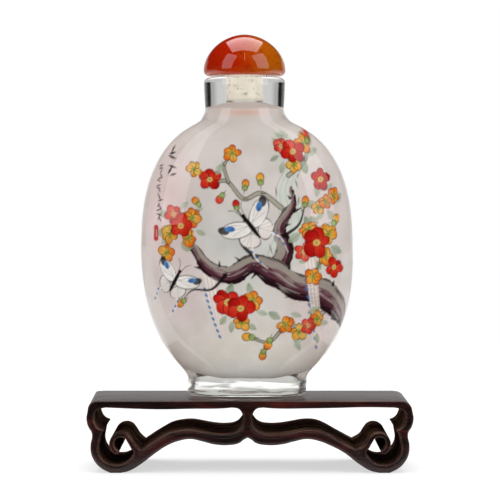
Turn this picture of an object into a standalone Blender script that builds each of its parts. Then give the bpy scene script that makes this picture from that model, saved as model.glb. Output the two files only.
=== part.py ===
"""A flattened oval snuff bottle of clear glass, hollow inside, with a domed hardstone
stopper on a short plug, standing on a low wooden stand carved as a pair of scrolls.

Metres, +Z up. The origin is on the ground under the middle of the stand, and the front
faces -Y. Run it with blender --background --python part.py or from the Text Editor.
"""

import math

import bmesh
import bpy

# Stand, cut by eye, so that its right side reaches a little further from the post
left_reach = 0.0404
right_reach = 0.0416
stand_depth = 0.0280
stand_height = 0.0181
plate_thickness = 0.0017
post_width = 0.0021
foot_flat = 0.0026

# Bottle, heights measured from the underside of its foot
bottle_height = 0.0811
body_width = 0.0542
body_depth = 0.0260
widest_height = 0.0367
shoulder_rise = 0.0347
belly_drop = 0.0363
foot_width = 0.0305
foot_depth = 0.0156
foot_edge_radius = 0.0012
neck_width = 0.0207
lip_radius = 0.0014
bore_width = 0.0063
bore_depth = 0.0062
wall = 0.0022
floor_thickness = 0.0047
# Sideways: the foot from the stand's post, then the lower belly and the neck from the foot
bottle_offset = -0.0002
belly_offset = 0.0003
neck_offset = -0.0006

# Stopper
cap_width = 0.0209
cap_height = 0.0106
cap_edge_radius = 0.0014
cap_lift = 0.0005
plug_head_width = 0.0110
plug_head_thickness = 0.0006
plug_length = 0.0060

# Clearance left between pieces that touch, and round the plug in the bore
touch_gap = 0.0003

# Fullness of the curves: 2 is an ellipse, more is squarer
SHOULDER_FULLNESS = 2.55
BELLY_FULLNESS = 2.2
CAVITY_BELLY_FULLNESS = 2.4
PLAN_FULLNESS = 2.2
DOME_FULLNESS = 1.88
# Width over which two curves melt together at the neck, the foot and inside
NECK_FILLET = 0.0038
FOOT_FILLET = 0.0020
FUNNEL_FILLET = 0.0015
# Height in which the oval plan turns into the round neck
PLAN_CHANGE = 0.009
# Share of the hollow's lower curve that is drawn before it stops on a flat floor
FLOOR_SHARE = 0.985

# Facets
RING_SIDES = 48
PLUG_SIDES = 32
CURVE_STEPS = 3
MERGE = 0.00001

# The scroll is drawn in millimetres for legs of this height, and grows with them
DRAWN_LEG_HEIGHT = 16.4
SMOOTH, CORNER = "AUTO", "VECTOR"

plate_top = stand_height
leg_height = stand_height - plate_thickness
scroll = leg_height / DRAWN_LEG_HEIGHT
post_x = (left_reach - right_reach) / 2
bottle_x = post_x + bottle_offset
neck_x = bottle_x + neck_offset
bottle_base = plate_top + touch_gap
rim_height = bottle_base + bottle_height
cap_base = rim_height + cap_lift
bore_end = bottle_height - bore_depth
# The bore flares out below its end until the neck's wall is as thin as the body's
funnel_flare = neck_width / 2 - wall - bore_width / 2


def clear_scene():
    for item in list(bpy.data.objects):
        bpy.data.objects.remove(item, do_unlink=True)


def make_collection(name):
    group = bpy.data.collections.new(name)
    bpy.context.scene.collection.children.link(group)
    return group


def make_material(name, colour, roughness, transmission=0.0, ior=1.5):
    material = bpy.data.materials.new(name)
    material.use_nodes = True
    shader = material.node_tree.nodes["Principled BSDF"]
    shader.inputs["Base Color"].default_value = (*colour, 1.0)
    shader.inputs["Roughness"].default_value = roughness
    shader.inputs["Metallic"].default_value = 0.0
    shader.inputs["Transmission Weight"].default_value = transmission
    shader.inputs["IOR"].default_value = ior
    material.diffuse_color = (*colour, 1.0)
    return material


def melt(a, b, width):
    """The larger of a and b, with a fillet where they are close."""
    close = max(width - abs(a - b), 0.0) / width
    return max(a, b) + close * close * width / 4


def full_curve(share, fullness):
    """A quarter of a superellipse: 1 at share 0, falling to 0 at share 1."""
    share = min(max(share, 0.0), 1.0)
    return (1.0 - share**fullness) ** (1.0 / fullness)


def quarter_round(distance, radius):
    """How far a rounded edge draws in, at a distance from the face it ends on."""
    if distance >= radius:
        return 0.0
    return radius - math.sqrt(radius**2 - (radius - distance) ** 2)


def body_size(z, full_size):
    """Half the body's width or depth at a height, before neck and foot join it."""
    if z > widest_height:
        return full_size / 2 * full_curve((z - widest_height) / shoulder_rise, SHOULDER_FULLNESS)
    return full_size / 2 * full_curve((widest_height - z) / belly_drop, BELLY_FULLNESS)


def outer_size(z, full_size, foot_size):
    """Half the outside's width or depth at a height."""
    if z > widest_height:
        size = melt(body_size(z, full_size), neck_width / 2, NECK_FILLET)
        return size - quarter_round(bottle_height - z, lip_radius)
    size = melt(body_size(z, full_size), foot_size / 2, FOOT_FILLET)
    return size - quarter_round(z, foot_edge_radius)


def cavity_size(z, full_size):
    """Half the hollow's width or depth at a height: belly, funnel and bore in one."""
    inner = full_size / 2 - wall
    if z > widest_height:
        rise = (z - widest_height) / (shoulder_rise - wall)
        size = inner * full_curve(rise, SHOULDER_FULLNESS)
        funnel = bore_width / 2 + min(max(bore_end - z, 0.0), funnel_flare)
        return melt(size, funnel, FUNNEL_FILLET)
    drop = (widest_height - z) / (widest_height - floor_thickness)
    return inner * full_curve(drop * FLOOR_SHARE, CAVITY_BELLY_FULLNESS)


def plan_fullness(z):
    """2 in the round neck, and the body's own fullness below it."""
    into_body = (bottle_height - z) / PLAN_CHANGE
    return 2.0 + (PLAN_FULLNESS - 2.0) * min(max(into_body - 0.5, 0.0), 1.0)


def axis_x(z):
    """How far the middle of a hand-made bottle strays sideways at a height."""
    if z > widest_height:
        return neck_offset * min((z - widest_height) / shoulder_rise, 1.0) ** 6
    return belly_offset * math.sin(math.pi * z / widest_height)


def ring_points(half_width, half_depth, z):
    """An oval section of the bottle: a circle in the neck, a little squarer in the body."""
    fullness = plan_fullness(z)
    points = []
    for index in range(RING_SIDES):
        turn = 2 * math.pi * index / RING_SIDES
        across, along = math.cos(turn), math.sin(turn)
        x = math.copysign(abs(across) ** (2 / fullness), across) * half_width + axis_x(z)
        y = math.copysign(abs(along) ** (2 / fullness), along) * half_depth
        points.append((x, y, z))
    return points


def close_below(low, high, steps):
    """Heights from low up towards high, closer together at the low end, without high."""
    return [low + (high - low) * (1 - math.cos(math.pi / 2 * i / steps)) for i in range(steps)]


def close_above(low, high, steps):
    """Heights from low up towards high, closer together at the high end, without high."""
    return [low + (high - low) * math.sin(math.pi / 2 * i / steps) for i in range(steps)]


def outside_rings():
    shoulder_top = widest_height + shoulder_rise
    lip_base = bottle_height - lip_radius
    heights = close_below(0.0, foot_edge_radius, 4)
    heights += close_below(foot_edge_radius, widest_height, 13)
    heights += close_above(widest_height, shoulder_top, 12)
    heights += close_below(shoulder_top, lip_base, 4)
    heights += close_above(lip_base, bottle_height, 4)
    heights.append(bottle_height)
    rings = []
    for z in heights:
        half_width = outer_size(z, body_width, foot_width)
        half_depth = outer_size(z, body_depth, foot_depth)
        rings.append(ring_points(half_width, half_depth, z))
    return rings


def inside_rings():
    cavity_shoulder = widest_height + shoulder_rise - wall
    heights = close_below(floor_thickness, widest_height, 10)
    heights += close_above(widest_height, cavity_shoulder, 10)
    heights += close_above(cavity_shoulder, bore_end, 4)
    heights += [bore_end, bottle_height]
    rings = []
    for z in reversed(heights):
        half_width = cavity_size(z, body_width)
        half_depth = cavity_size(z, body_depth)
        rings.append(ring_points(half_width, half_depth, z))
    return rings


def loft(name, rings, material, group):
    """Skins a run of rings, closed by a flat face at each end."""
    work = bmesh.new()
    rows = [[work.verts.new(point) for point in ring] for ring in rings]
    for lower, upper in zip(rows, rows[1:]):
        for index in range(RING_SIDES):
            after = (index + 1) % RING_SIDES
            work.faces.new((lower[index], lower[after], upper[after], upper[index]))
    work.faces.new(list(reversed(rows[0])))
    work.faces.new(rows[-1])
    bmesh.ops.recalc_face_normals(work, faces=work.faces[:])
    mesh = bpy.data.meshes.new(name)
    work.to_mesh(mesh)
    work.free()
    mesh.shade_smooth()
    mesh.set_sharp_from_angle(angle=math.radians(40))
    mesh.materials.append(material)
    made = bpy.data.objects.new(name, mesh)
    group.objects.link(made)
    return made


def turned(name, profile, sides, material, group):
    """A profile of (radius, height) points, top to bottom, turned about the Z axis."""
    mesh = bpy.data.meshes.new(name)
    edges = [(i, i + 1) for i in range(len(profile) - 1)]
    mesh.from_pydata([(radius, 0.0, height) for radius, height in profile], edges, [])
    mesh.materials.append(material)
    made = bpy.data.objects.new(name, mesh)
    group.objects.link(made)
    screw = made.modifiers.new("Turn", "SCREW")
    screw.axis = "Z"
    screw.angle = 2 * math.pi
    screw.steps = sides
    screw.render_steps = sides
    screw.use_merge_vertices = True
    screw.merge_threshold = MERGE
    screw.use_smooth_shade = True
    return made


def arc(centre, radius, start, end, steps):
    """Points (x, z, kind) on an arc, from one angle to another in degrees."""
    points = []
    for index in range(steps + 1):
        turn = math.radians(start + (end - start) * index / steps)
        x = centre[0] + radius * math.cos(turn)
        z = centre[1] + radius * math.sin(turn)
        points.append((x, z, SMOOTH))
    return points


def mirrored(points):
    return [(-x, z, kind) for x, z, kind in reversed(points)]


def from_end(points, reach):
    """Points drawn in millimetres inward from the stand's left end, in metres from the post."""
    return [(x * scroll - reach, z * scroll, kind) for x, z, kind in points]


def from_post(points, reach):
    """Points at shares of the reach left of the post, with heights in drawn millimetres."""
    return [(-share * reach, z * scroll, kind) for share, z, kind in points]


def side_outline(reach):
    """The left half of the outer edge, from the plate's top to the notch under the post."""
    foot_middle = 7.3
    half_flat = foot_flat / scroll / 2
    round_end = [
        (3.6 * scroll - reach, plate_top, CORNER),
        (1.9 * scroll - reach, plate_top - 0.17 * plate_thickness, SMOOTH),
        (0.75 * scroll - reach, plate_top - 0.7 * plate_thickness, SMOOTH),
    ]
    bulb = from_end(
        [
            (0.25, 15.3, SMOOTH),
            (0.0, 13.6, SMOOTH),
            (0.45, 11.6, SMOOTH),
            (1.3, 10.1, SMOOTH),
            (1.4, 9.0, SMOOTH),
            (1.05, 7.2, SMOOTH),
            (1.15, 4.9, SMOOTH),
            (2.1, 2.8, SMOOTH),
            (3.8, 1.1, SMOOTH),
            (foot_middle - half_flat, 0.0, CORNER),
            (foot_middle + half_flat, 0.0, CORNER),
            (10.8, 1.0, SMOOTH),
            (13.4, 2.6, SMOOTH),
            (17.6, 5.8, SMOOTH),
        ],
        reach,
    )
    wave = from_post(
        [
            (0.500, 7.15, SMOOTH),
            (0.430, 8.3, SMOOTH),
            (0.355, 8.8, SMOOTH),
            (0.280, 8.2, SMOOTH),
            (0.205, 7.45, SMOOTH),
            (0.110, 7.3, SMOOTH),
        ],
        reach,
    )
    notch = [
        (-post_width, 7.8 * scroll, SMOOTH),
        (-post_width * 0.45, 8.65 * scroll, SMOOTH),
    ]
    return round_end + bulb + wave + notch


def window_outline(reach):
    """The opening between the plate, the scroll and the post, on the left."""
    post_side = -post_width / 2
    curl = (8.6, 7.25)
    left = from_end(
        [
            (3.2, 16.0, SMOOTH),
            (2.2, 15.2, SMOOTH),
            (1.8, 13.9, SMOOTH),
            (2.1, 12.5, SMOOTH),
            (3.7, 10.15, CORNER),
        ]
        + arc((7.4, 6.4), 4.5, 155, 325, 6)
        + [(11.8, 5.2, SMOOTH), (11.15, 6.2, SMOOTH)]
        + arc(curl, 1.75, 15, 185, 4)
        + [(7.45, 5.75, SMOOTH), (6.85, 5.25, SMOOTH), (6.25, 5.5, SMOOTH)]
        + arc(curl, 2.9, 190, 25, 5)
        + [(12.2, 7.0, SMOOTH), (14.0, 5.4, CORNER), (16.4, 7.3, SMOOTH), (18.7, 8.55, SMOOTH)],
        reach,
    )
    crest = from_post(
        [
            (0.490, 9.95, SMOOTH),
            (0.430, 10.55, SMOOTH),
            (0.355, 10.75, SMOOTH),
            (0.280, 10.25, SMOOTH),
            (0.205, 9.75, SMOOTH),
            (0.135, 9.65, SMOOTH),
        ],
        reach,
    )
    round_end = [
        (post_side - 2.1 * scroll, 0.615 * leg_height, SMOOTH),
        (post_side - 0.7 * scroll, 0.685 * leg_height, SMOOTH),
        (post_side, 0.81 * leg_height, SMOOTH),
        (post_side - 0.4 * scroll, 0.92 * leg_height, SMOOTH),
        (post_side - 1.2 * scroll, 0.98 * leg_height, SMOOTH),
        (post_side - 2.8 * scroll, leg_height, CORNER),
    ]
    top_left = [(4.8 * scroll - reach, leg_height, CORNER)]
    return top_left + left + crest + round_end


def add_outline(curve, points):
    spline = curve.splines.new("BEZIER")
    spline.bezier_points.add(len(points) - 1)
    for point, (x, z, kind) in zip(spline.bezier_points, points):
        point.co = (x, z, 0.0)
        point.handle_left_type = kind
        point.handle_right_type = kind
    spline.use_cyclic_u = True


def build_stand(group):
    """One block of wood, pierced and shaped right through from front to back."""
    wood = make_material("rosewood", (0.030, 0.010, 0.008), 0.35)
    curve = bpy.data.curves.new("stand", "CURVE")
    curve.dimensions = "2D"
    curve.fill_mode = "BOTH"
    curve.extrude = stand_depth / 2
    curve.resolution_u = CURVE_STEPS
    under_post = [(0.0, 9.15 * scroll, CORNER)]
    right_side = mirrored(side_outline(right_reach))
    add_outline(curve, side_outline(left_reach) + under_post + right_side)
    add_outline(curve, window_outline(left_reach))
    add_outline(curve, mirrored(window_outline(right_reach)))
    curve.materials.append(wood)
    stand = bpy.data.objects.new("stand", curve)
    stand.location = (post_x, 0.0, 0.0)
    stand.rotation_euler = (math.pi / 2, 0.0, 0.0)
    group.objects.link(stand)
    return stand


def build_bottle(group):
    """Blown and ground glass: the outside and the hollow are skinned as one wall."""
    glass = make_material("clear_glass", (0.80, 0.79, 0.77), 0.05, 1.0, 1.52)
    bottle = loft("bottle", outside_rings() + inside_rings(), glass, group)
    bottle.location = (bottle_x, 0.0, bottle_base)
    return bottle


def build_cap(group):
    """The domed cap, with a shallow seat in its underside for the head of the plug."""
    agate = make_material("red_agate", (0.42, 0.050, 0.006), 0.08)
    radius = cap_width / 2
    dome_rise = cap_height - cap_edge_radius
    seat_radius = plug_head_width / 2 + touch_gap
    seat_height = touch_gap + plug_head_thickness + touch_gap - cap_lift
    profile = []
    for step in range(11):
        lean = math.pi / 2 * step / 10
        share = math.cos(lean)
        width = full_curve(share, DOME_FULLNESS) * radius
        profile.append((width, cap_edge_radius + dome_rise * share))
    for step in range(1, 5):
        lean = math.pi / 2 * step / 4
        width = radius - cap_edge_radius * (1 - math.cos(lean))
        profile.append((width, cap_edge_radius * (1 - math.sin(lean))))
    profile += [(seat_radius, 0.0), (seat_radius, seat_height), (0.0, seat_height)]
    cap = turned("stopper_cap", profile, RING_SIDES, agate, group)
    cap.location = (neck_x, 0.0, cap_base)
    return cap


def build_plug(group):
    """The plug: a thin head over the rim and a shank that stops the bore."""
    cream = make_material("cream_plug", (0.74, 0.70, 0.58), 0.45)
    shank_radius = bore_width / 2 - touch_gap
    head_radius = plug_head_width / 2
    shank_end = 0.0004
    profile = [
        (0.0, plug_head_thickness),
        (head_radius, plug_head_thickness),
        (head_radius, 0.0),
        (shank_radius, 0.0),
        (shank_radius, shank_end - plug_length),
        (shank_radius - shank_end, -plug_length),
        (0.0, -plug_length),
    ]
    plug = turned("stopper_plug", profile, PLUG_SIDES, cream, group)
    plug.location = (neck_x, 0.0, rim_height + touch_gap)
    return plug


def main():
    clear_scene()
    group = make_collection("snuff_bottle_on_stand")
    build_stand(group)
    build_bottle(group)
    build_cap(group)
    build_plug(group)


main()
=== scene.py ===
# %% [markdown]
# # A snuff bottle painted on the inside, on its scroll stand
# The real object is a flat little bottle of clear glass. Its hollow is ground matt and painted
# from within, through the bore. A domed stopper of red agate closes it on a cream plug, and it
# stands on a low stand of dark rosewood, sawn and carved as a pair of scrolls.
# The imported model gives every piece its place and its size. This script gives them their looks.

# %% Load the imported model
import math
import random

import bmesh
import bpy
import numpy as np
from mathutils import Matrix, Vector, noise
from mathutils.bvhtree import BVHTree


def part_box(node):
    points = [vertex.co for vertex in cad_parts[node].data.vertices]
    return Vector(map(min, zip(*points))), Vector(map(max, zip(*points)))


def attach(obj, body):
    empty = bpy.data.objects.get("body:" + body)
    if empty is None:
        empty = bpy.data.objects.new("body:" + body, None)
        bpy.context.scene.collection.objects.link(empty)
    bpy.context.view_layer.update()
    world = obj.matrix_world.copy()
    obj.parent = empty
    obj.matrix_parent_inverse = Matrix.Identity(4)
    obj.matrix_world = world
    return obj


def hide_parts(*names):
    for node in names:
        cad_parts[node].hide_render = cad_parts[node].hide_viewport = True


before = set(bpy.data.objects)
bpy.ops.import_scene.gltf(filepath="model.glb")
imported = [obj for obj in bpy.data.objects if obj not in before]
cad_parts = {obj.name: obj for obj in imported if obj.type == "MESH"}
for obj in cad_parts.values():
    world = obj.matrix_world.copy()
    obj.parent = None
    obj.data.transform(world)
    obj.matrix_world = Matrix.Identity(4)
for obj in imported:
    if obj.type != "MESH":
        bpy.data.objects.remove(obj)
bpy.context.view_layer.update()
MM = 0.001
print("nodes:", sorted(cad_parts))

# %% [markdown]
# ## Colours and nodes
# Colours are written as sRGB hex values, as a paint chart gives them, and one function turns
# them to the linear values that the renderer counts in. One small function adds a node with its
# settings, and links the nodes and sockets that it is given.


# %% Colour and node helpers
def linear(hex_code):
    """An sRGB hex colour such as "c8102e" as a linear (r, g, b, alpha)."""
    channels = []
    for start in (0, 2, 4):
        value = int(hex_code[start:start + 2], 16) / 255
        channels.append(value / 12.92 if value <= 0.04045 else ((value + 0.055) / 1.055) ** 2.4)
    return (*channels, 1.0)


def add_node(tree, kind, inputs=None, stops=(), **settings):
    """A new node. An input that is a node or a socket is linked, and any other value is set."""
    node = tree.nodes.new("ShaderNode" + kind)
    for name, value in settings.items():
        setattr(node, name, value)
    for name, value in (inputs or {}).items():
        if isinstance(value, bpy.types.Node):
            value = value.outputs[0]
        if isinstance(value, bpy.types.NodeSocket):
            tree.links.new(value, node.inputs[name])
        else:
            node.inputs[name].default_value = linear(value) if isinstance(value, str) else value
    # A ramp starts with two stops: one is removed, and the other becomes the first that is asked for
    for index, (place, hex_code) in enumerate(stops):
        elements = node.color_ramp.elements
        if index == 0:
            elements.remove(elements[-1])
            elements[0].position = place
        stop = elements.new(place) if index else elements[0]
        stop.color = linear(hex_code)
    return node


def new_material(name):
    """An empty node material, its tree, and the object coordinates that its patterns read."""
    material = bpy.data.materials.new(name)
    material.use_nodes = True
    tree = material.node_tree
    tree.nodes.clear()
    return material, tree, add_node(tree, "TexCoord").outputs["Object"]


print("test of linear():", [round(v, 3) for v in linear("d0cbc7")])

# %% [markdown]
# ## Camera
# The photograph was taken from straight in front with a long lens, a little above the middle of
# the bottle and tipped down by less than two degrees. The stand's plate then shows as a narrow
# band, and the sides of the scrolls show a little on their inner faces.

# %% Camera
def put_in_scene(name, data):
    """A new object that shows this data, linked into the scene."""
    made = bpy.data.objects.new(name, data)
    bpy.context.scene.collection.objects.link(made)
    return made


camera_data = bpy.data.cameras.new("camera")
camera_data.lens, camera_data.sensor_width = 150.3, 36.0
CAMERA_DISTANCE, CAMERA_HEIGHT = 535 * MM, 70.9 * MM
TIPPED_DOWN = 1.647
camera = put_in_scene("camera", camera_data)
camera.location = (0.0, -CAMERA_DISTANCE, CAMERA_HEIGHT)
camera.rotation_euler = (math.radians(90.0 - TIPPED_DOWN), 0.0, 0.0)
bpy.context.scene.camera = camera
print("camera", tuple(round(v, 4) for v in camera.location), "lens", camera_data.lens)

# %% [markdown]
# ## Studio
# A white table under one large soft box, a soft box at each side of the camera and a narrow strip
# lamp above it. The table is paper lit a little from below, as a light table is, so the shadow on
# it stays pale. A black card lies on it in front of the stand, where only shiny surfaces see it.
# Behind the table stands a pale board, and the rest of the room is dark. Clear glass shows all of
# this: the board makes it pale in the middle, and the dark room beside the board draws the dark
# lines down the edges of the neck. The board and the room are made in the world, so that nothing
# ever comes between the camera and the object. The camera sees plain white behind the table.

# %% Table
TABLE_RADIUS = 2.5
LIT_FROM_BELOW = 0.6
# Up to the first distance the lamps light the paper, and from the second on it shines by itself
LAMPLIT, SHINING = 0.12, 0.45
# The shining paper is white to the camera, and shines this much on the object
SHINE_ON_OBJECT = 0.6
CARD_EDGE = -0.03
work = bmesh.new()
bmesh.ops.create_circle(work, cap_ends=True, segments=64, radius=TABLE_RADIUS)
table_mesh = bpy.data.meshes.new("table")
work.to_mesh(table_mesh)
work.free()
table = put_in_scene("table", table_mesh)

table_paper, tree, place = new_material("white_paper_table")
path = add_node(tree, "LightPath").outputs
distance = add_node(tree, "VectorMath", {0: place}, operation="LENGTH").outputs["Value"]
away = add_node(tree, "MapRange", {"Value": distance, "From Min": LAMPLIT, "From Max": SHINING})
shine = add_node(tree, "MapRange", {"Value": path["Is Camera Ray"], "To Min": SHINE_ON_OBJECT})
paper = add_node(tree, "BsdfDiffuse", {"Color": "fdfdfd"})
glow = add_node(tree, "Emission", {"Strength": shine})
lit_below = add_node(tree, "Math", {0: path["Is Camera Ray"], 1: LIT_FROM_BELOW}, operation="MULTIPLY")
shining = add_node(tree, "Math", {0: away, 1: lit_below}, operation="MAXIMUM")
both = add_node(tree, "MixShader", {0: shining, 1: paper, 2: glow})
spot = add_node(tree, "SeparateXYZ", {"Vector": place}).outputs
in_front = add_node(tree, "Math", {0: spot["Y"], 1: CARD_EDGE}, operation="LESS_THAN")
card_seen = add_node(tree, "Math", {0: in_front, 1: path["Is Glossy Ray"]}, operation="MULTIPLY")
card = add_node(tree, "Emission", {"Color": "1a1a1a"})
top = add_node(tree, "MixShader", {0: card_seen, 1: both, 2: card})
add_node(tree, "OutputMaterial", {"Surface": top})
table_mesh.materials.append(table_paper)
print("table radius", TABLE_RADIUS, "m")

# %% World
BOARD_BRIGHT, BOARD_DIM, ROOM_SIDE, ROOM_FRONT = "d4d4d2", "b2b2b1", "1c1c1b", "2e2e2c"
ROOM_FILL = 0.5
world = bpy.data.worlds.new("studio")
bpy.context.scene.world = world
world.use_nodes = True
tree = world.node_tree
tree.nodes.clear()
direction = add_node(tree, "TexCoord").outputs["Generated"]
parts = add_node(tree, "SeparateXYZ", {"Vector": direction}).outputs
# 0 straight in front, 0.5 at the sides, 1 straight behind
behind = add_node(tree, "Math", {0: parts["Y"], 1: 0.5, 2: 0.5}, operation="MULTIPLY_ADD")
board = add_node(tree, "ValToRGB", {"Fac": behind}, [
    (0.0, ROOM_FRONT), (0.50, ROOM_SIDE), (0.832, ROOM_SIDE),
    (0.857, BOARD_DIM), (0.89, BOARD_DIM), (0.93, BOARD_BRIGHT),
])
# The board's upper edge: 0.25 is the sine of its height in the view, about 15 degrees
above = add_node(tree, "ValToRGB", {"Fac": parts["Z"]}, [(0.22, "ffffff"), (0.30, "363636")])
room = add_node(tree, "MixRGB", {"Fac": 1.0, "Color1": board, "Color2": above}, blend_type="MULTIPLY")
path = add_node(tree, "LightPath").outputs
# Matt surfaces get an even fill from all round, as from a white ceiling and walls
fill = (ROOM_FILL, ROOM_FILL, ROOM_FILL, 1.0)
filled = add_node(tree, "MixRGB", {"Fac": path["Is Diffuse Ray"], "Color1": room, "Color2": fill})
seen = add_node(tree, "MixRGB", {"Fac": path["Is Camera Ray"], "Color1": filled, "Color2": "ffffff"})
sky = add_node(tree, "Background", {"Color": seen})
add_node(tree, "OutputWorld", {"Surface": sky})
bpy.context.scene.view_settings.view_transform = "Standard"
print("world: pale board behind, dark room")

# %% Soft boxes
BOTTLE_MIDDLE = (0.0, 0.0, 60 * MM)


def soft_box(name, place, aim, width, height, radiance):
    """A rectangle of even light at a place, facing another place."""
    data = bpy.data.lights.new(name, "AREA")
    data.shape = "RECTANGLE"
    data.size = width
    data.size_y = height
    data.energy = radiance * math.pi * width * height
    lamp = put_in_scene(name, data)
    lamp.location = place
    lamp.rotation_euler = (Vector(place) - Vector(aim)).to_track_quat("Z", "Y").to_euler()
    lamp.visible_camera = False
    print(name, [round(v, 2) for v in place], round(data.energy, 1), "W")


def round_the_camera(azimuth, elevation, distance):
    """A place at an angle to the right of the camera and above the table, seen from the bottle."""
    turn, rise = math.radians(azimuth), math.radians(elevation)
    level = math.cos(rise) * distance
    return (level * math.sin(turn), -level * math.cos(turn), BOTTLE_MIDDLE[2] + math.sin(rise) * distance)


soft_box("overhead_box", (0.0, 0.36, 1.1), (0.0, 0.36, 0.0), 1.0, 1.26, 3.3)
soft_box("left_box", round_the_camera(-52, 30, 1.1), BOTTLE_MIDDLE, 0.60, 1.1, 1.9)
soft_box("right_box", round_the_camera(55, 30, 1.1), BOTTLE_MIDDLE, 0.72, 1.1, 2.0)
soft_box("strip_lamp", round_the_camera(0.6, 52, 1.0), BOTTLE_MIDDLE, 0.02, 0.50, 4.0)

# %% [markdown]
# ## The wooden stand
# The real stand is one block, sawn through from front to back along a curved outline. Its front
# edges are rounded over, and a fine groove follows the edge of each opening. The outline could be
# traced as a mesh, but a flat Bezier curve holds it with few points and fills it by itself.
# The real outline was cut by hand, so its two halves differ a little, and the plate's underside
# sags between the ends of the openings.

# %% Outline of the stand
stand_low, stand_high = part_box("stand")
stand_depth = stand_high.y - stand_low.y
plate_top = stand_high.z
plate_thickness = 1.7 * MM
leg_height = plate_top - plate_thickness
post_x, post_width = -0.6 * MM, 2.1 * MM
# The curve bulges past its points by a hair, and has to stay inside the CAD box
HAIR = 0.004 * MM
left_reach = post_x - stand_low.x - HAIR
right_reach = stand_high.x - post_x - HAIR
# Where the foot's flat is, inward from the stand's end, and half its width, in mm
FOOT_MIDDLE, HALF_FLAT = 7.3, 1.3
CORNER = "VECTOR"


def arc(centre, radius, start, end, steps):
    """Points on an arc, from one angle to another in degrees."""
    turns = [math.radians(start + (end - start) * i / steps) for i in range(steps + 1)]
    return [(centre[0] + radius * math.cos(turn), centre[1] + radius * math.sin(turn)) for turn in turns]


def mirrored(points):
    return [(-x, *rest) for x, *rest in reversed(points)]


def from_end(points, reach):
    """Points in millimetres inward from the stand's end, as metres from the post."""
    return [(x * MM - reach, z * MM, *rest) for x, z, *rest in points]


def from_post(points, reach):
    """Points at shares of the reach from the post, with heights in millimetres."""
    return [(-share * reach, z * MM) for share, z in points]


def side_outline(reach, end_rounding):
    """The left half of the outer edge, from the plate's top to the notch under the post."""
    round_end = [
        (end_rounding - reach, plate_top, CORNER),
        (end_rounding * 0.53 - reach, plate_top - 0.17 * plate_thickness),
        (end_rounding * 0.21 - reach, plate_top - 0.7 * plate_thickness),
    ]
    scroll = [
        (0.25, 15.3), (0.0, 13.6), (0.45, 11.6), (1.3, 10.1), (1.4, 9.0),
        (1.05, 7.2), (1.15, 4.9), (2.1, 2.8), (3.8, 1.1),
        (FOOT_MIDDLE - HALF_FLAT, 0.0, CORNER), (FOOT_MIDDLE + HALF_FLAT, 0.0, CORNER),
        (10.8, 0.55), (13.4, 2.05), (17.6, 5.2),
    ]
    wave = [(0.500, 6.85), (0.430, 8.0), (0.355, 8.5), (0.280, 7.9), (0.205, 7.15), (0.110, 7.0)]
    notch = [(-post_width, 7.5 * MM), (-post_width * 0.45, 8.35 * MM)]
    return round_end + from_end(scroll, reach) + from_post(wave, reach) + notch


def window_outline(reach, rise, sags):
    """The left opening between plate, scroll and post."""
    curl = (8.6, 7.25)
    scroll = [
        (3.2, 16.0), (2.2, 15.2), (1.8, 13.9), (2.1, 12.5), (2.9, 11.3), (4.3, 10.6, CORNER), (3.55, 9.6),
        *arc((7.4, 6.4), 4.5, 160, 325, 6), (11.8, 5.2), (11.15, 6.2),
        *arc(curl, 1.75, 15, 225, 5), (7.95, 5.55), (8.05, 5.05), (7.5, 4.75),
        *arc(curl, 2.9, 228, 25, 6), (12.2, 7.0), (*rise[0], CORNER), *rise[1:],
    ]
    crest = [(0.430, 10.55), (0.355, 10.75), (0.280, 10.25), (0.205, 9.75), (0.135, 9.65)]
    # Round the post's side: how far from it in mm, at shares of the leg's height
    beside_post = [(2.1, 0.615), (0.7, 0.685), (0.0, 0.81), (0.4, 0.92), (1.2, 0.98), (2.8, 1.0, CORNER)]
    round_end = [
        (-post_width / 2 - x * MM, share * leg_height, *rest) for x, share, *rest in beside_post
    ]
    top_left = [(4.8 * MM - reach, leg_height, CORNER)]
    underside = [(-share * reach, leg_height - sag * MM) for share, sag in sags]
    return top_left + from_end(scroll, reach) + from_post(crest, reach) + round_end + underside


print("stand reaches", round(left_reach / MM, 1), "and", round(right_reach / MM, 1), "mm")

# %% What differs between left and right
EDGE_ROUND = 0.48 * MM
CURVE_STEPS = 8
LEFT_END_ROUNDING, RIGHT_END_ROUNDING = 3.0 * MM, 3.6 * MM
# Where each wave climbs out of its scroll, in mm from the stand's end and above the table
LEFT_RISE = ((13.6, 5.7), (16.2, 7.45), (18.7, 8.95), (20.6, 9.95))
RIGHT_RISE = ((14.3, 5.75), (16.8, 7.1), (19.0, 8.3), (21.2, 9.55))
# Places along the plate as shares of its reach, and how far its underside sags there, in mm
LEFT_SAGS = ((0.16, 0.22), (0.34, 0.30), (0.52, 0.45), (0.64, 0.38), (0.76, 0.20))
RIGHT_SAGS = ((0.16, 0.22), (0.36, 0.22), (0.52, 0.10), (0.70, -0.08))


def add_outline(curve, points):
    """A closed Bezier line. A point is smooth unless it says that it is a corner."""
    spline = curve.splines.new("BEZIER")
    spline.bezier_points.add(len(points) - 1)
    for knot, (x, z, *kind) in zip(spline.bezier_points, points):
        knot.co = (x, z, 0.0)
        knot.handle_left_type = knot.handle_right_type = kind[0] if kind else "AUTO"
    spline.use_cyclic_u = True


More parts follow.
